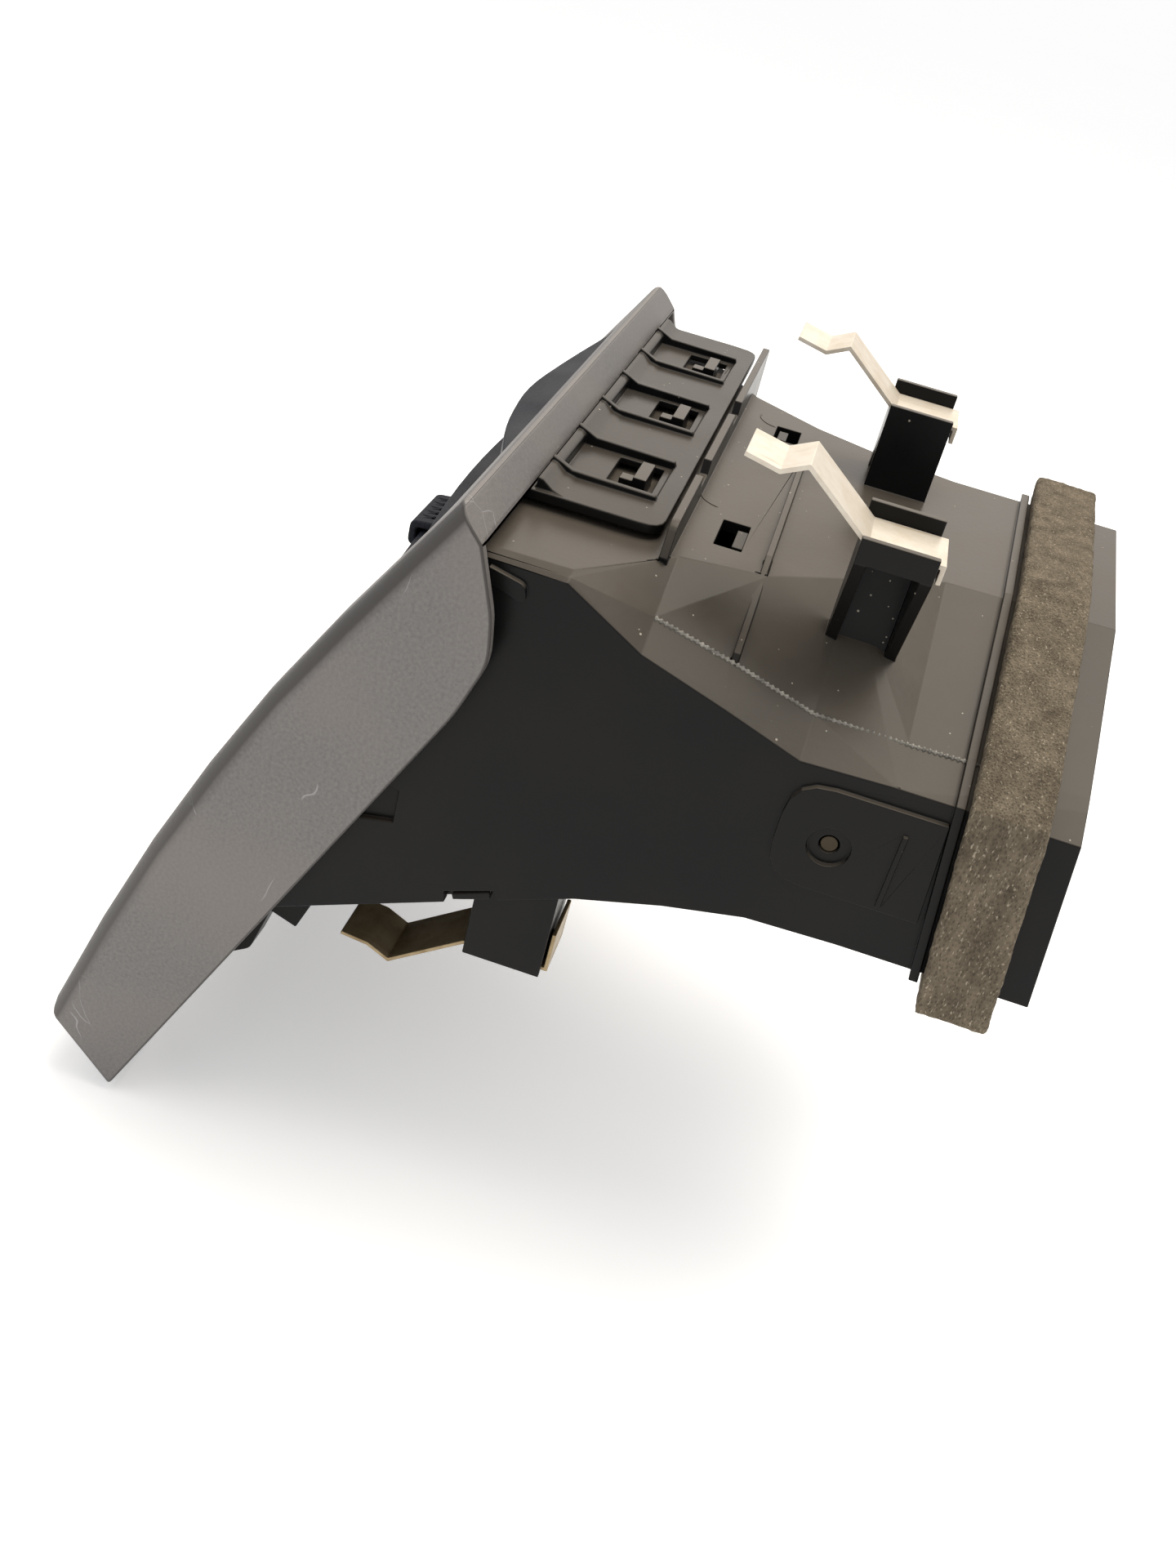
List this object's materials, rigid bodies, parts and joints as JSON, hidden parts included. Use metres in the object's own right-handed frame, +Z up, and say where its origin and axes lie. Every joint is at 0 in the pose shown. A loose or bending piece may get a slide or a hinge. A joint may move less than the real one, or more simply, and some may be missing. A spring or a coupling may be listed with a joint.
{
  "type": "dashboard air vent",
  "caption": "Raked dashboard air vent: painted bezel, tapering duct with spring clips and foam-wrapped inlet, tilting and swinging vanes, slider and thumbwheel damper.",
  "frame": {"origin": "on the duct's flat top, level with the front faces of the upper clip towers, at the bezel's mid width", "axes": "+Z up, +Y from the bezel into the dash towards the duct inlet, +X to the right when facing the vent"},
  "size_m": [0.16, 0.181, 0.1629],
  "materials": {
    "paint": "satin metallic grey paint with fine speckle and light scratches",
    "plastic": "black moulded polypropylene, semi-gloss, dusty",
    "vane": "fine-grained blue-black",
    "link": "natural acetal, slightly waxy",
    "spring": "cream-white coated spring strip",
    "steel": "drawn pin",
    "foam": "open-cell polyurethane foam, brown-grey",
    "grip": "soft-touch blue-black"
  },
  "bodies": {
    "duct_body": {"bezel": "paint", "front_frame": "plastic", "duct_housing": "plastic", "bottom_cover": "plastic", "inlet_gasket": "foam", "left_retainer": "plastic", "right_retainer": "plastic", "upper_vane_rail": "plastic", "lower_vane_rail": "plastic", "upper_clip_near": "spring", "upper_clip_far": "spring", "lower_clip_near": "spring", "lower_clip_far": "spring"},
    "h_vane_1": {"h_vane_1": "vane"},
    "h_vane_2": {"h_vane_2": "vane"},
    "h_vane_3": {"h_vane_3": "vane"},
    "h_vane_4": {"h_vane_4": "vane"},
    "h_vane_5": {"h_vane_5": "vane"},
    "h_link": {"h_vane_link": "link"},
    "v_vane_1": {"v_vane_1": "vane"},
    "v_vane_2": {"v_vane_2": "vane"},
    "v_vane_3": {"v_vane_3": "vane"},
    "v_vane_4": {"v_vane_4": "vane"},
    "v_vane_5": {"v_vane_5": "vane"},
    "v_link": {"v_vane_link": "link"},
    "slider": {"slider_knob": "grip", "slider_fork": "link"},
    "thumbwheel": {"thumbwheel": "grip"},
    "damper_rod": {"damper_rod": "link"},
    "damper": {"damper_lever": "link", "damper_shaft": "steel", "damper_flap": "plastic", "damper_seal_rear": "foam", "damper_seal_front": "foam"}
  },
  "joints": [
    {"name": "h_vane_1_tilt", "type": "hinge", "parent": "duct_body", "child": "h_vane_1", "pos_m": [0, -0.0565, -0.013], "axis": [1, 0, 0], "range_deg": [-25, 25]},
    {"name": "h_vane_2_tilt", "type": "hinge", "parent": "duct_body", "child": "h_vane_2", "pos_m": [0, -0.0635, -0.027], "axis": [1, 0, 0], "range_deg": [-25, 25]},
    {"name": "h_vane_3_tilt", "type": "hinge", "parent": "duct_body", "child": "h_vane_3", "pos_m": [0, -0.0705, -0.041], "axis": [1, 0, 0], "range_deg": [-25, 25]},
    {"name": "h_vane_4_tilt", "type": "hinge", "parent": "duct_body", "child": "h_vane_4", "pos_m": [0, -0.0775, -0.055], "axis": [1, 0, 0], "range_deg": [-25, 25]},
    {"name": "h_vane_5_tilt", "type": "hinge", "parent": "duct_body", "child": "h_vane_5", "pos_m": [0, -0.0845, -0.069], "axis": [1, 0, 0], "range_deg": [-25, 25]},
    {"name": "h_link_pivot", "type": "hinge", "parent": "h_vane_2", "child": "h_link", "pos_m": [-0.0518, -0.0565, -0.027], "axis": [1, 0, 0], "range_deg": [-25, 25]},
    {"name": "v_vane_1_swing", "type": "hinge", "parent": "duct_body", "child": "v_vane_1", "pos_m": [-0.026, -0.042, -0.03], "axis": [0, 0.4472, 0.8944], "range_deg": [-28, 28]},
    {"name": "v_vane_2_swing", "type": "hinge", "parent": "duct_body", "child": "v_vane_2", "pos_m": [-0.0075, -0.042, -0.03], "axis": [0, 0.4472, 0.8944], "range_deg": [-28, 28]},
    {"name": "v_vane_3_swing", "type": "hinge", "parent": "duct_body", "child": "v_vane_3", "pos_m": [0.011, -0.042, -0.03], "axis": [0, 0.4472, 0.8944], "range_deg": [-28, 28]},
    {"name": "v_vane_4_swing", "type": "hinge", "parent": "duct_body", "child": "v_vane_4", "pos_m": [0.0295, -0.042, -0.03], "axis": [0, 0.4472, 0.8944], "range_deg": [-28, 28]},
    {"name": "v_vane_5_swing", "type": "hinge", "parent": "duct_body", "child": "v_vane_5", "pos_m": [0.048, -0.042, -0.03], "axis": [0, 0.4472, 0.8944], "range_deg": [-28, 28]},
    {"name": "v_link_pivot", "type": "hinge", "parent": "v_vane_3", "child": "v_link", "pos_m": [0.011, -0.03485, -0.03358], "axis": [0, 0.4472, 0.8944], "range_deg": [-28, 28]},
    {"name": "slider_travel", "type": "slide", "parent": "h_vane_2", "child": "slider", "axis": [1, 0, 0], "range_m": [-0.0063, 0.0063]},
    {"name": "thumbwheel_turn", "type": "hinge", "parent": "duct_body", "child": "thumbwheel", "pos_m": [-0.069, -0.068, -0.032], "axis": [1, 0, 0], "range_deg": [0, 80]},
    {"name": "damper_turn", "type": "hinge", "parent": "duct_body", "child": "damper", "pos_m": [0, 0.011, -0.032], "axis": [1, 0, 0], "range_deg": [0, 80]},
    {"name": "rod_pivot", "type": "hinge", "parent": "thumbwheel", "child": "damper_rod", "pos_m": [-0.0638, -0.06209, -0.02521], "axis": [1, 0, 0], "range_deg": [-80, 0]}
  ],
  "couplings": [
    {"joint": "h_vane_1_tilt", "follows": "h_vane_2_tilt", "ratio": 1},
    {"joint": "h_vane_3_tilt", "follows": "h_vane_2_tilt", "ratio": 1},
    {"joint": "h_vane_4_tilt", "follows": "h_vane_2_tilt", "ratio": 1},
    {"joint": "h_vane_5_tilt", "follows": "h_vane_2_tilt", "ratio": 1},
    {"joint": "h_link_pivot", "follows": "h_vane_2_tilt", "ratio": -1},
    {"joint": "v_vane_1_swing", "follows": "v_vane_3_swing", "ratio": 1},
    {"joint": "v_vane_2_swing", "follows": "v_vane_3_swing", "ratio": 1},
    {"joint": "v_vane_4_swing", "follows": "v_vane_3_swing", "ratio": 1},
    {"joint": "v_vane_5_swing", "follows": "v_vane_3_swing", "ratio": 1},
    {"joint": "v_link_pivot", "follows": "v_vane_3_swing", "ratio": -1},
    {"joint": "slider_travel", "follows": "v_vane_3_swing", "m_per_rad": 0.0127},
    {"joint": "damper_turn", "follows": "thumbwheel_turn", "ratio": 1},
    {"joint": "rod_pivot", "follows": "thumbwheel_turn", "ratio": -1}
  ]
}
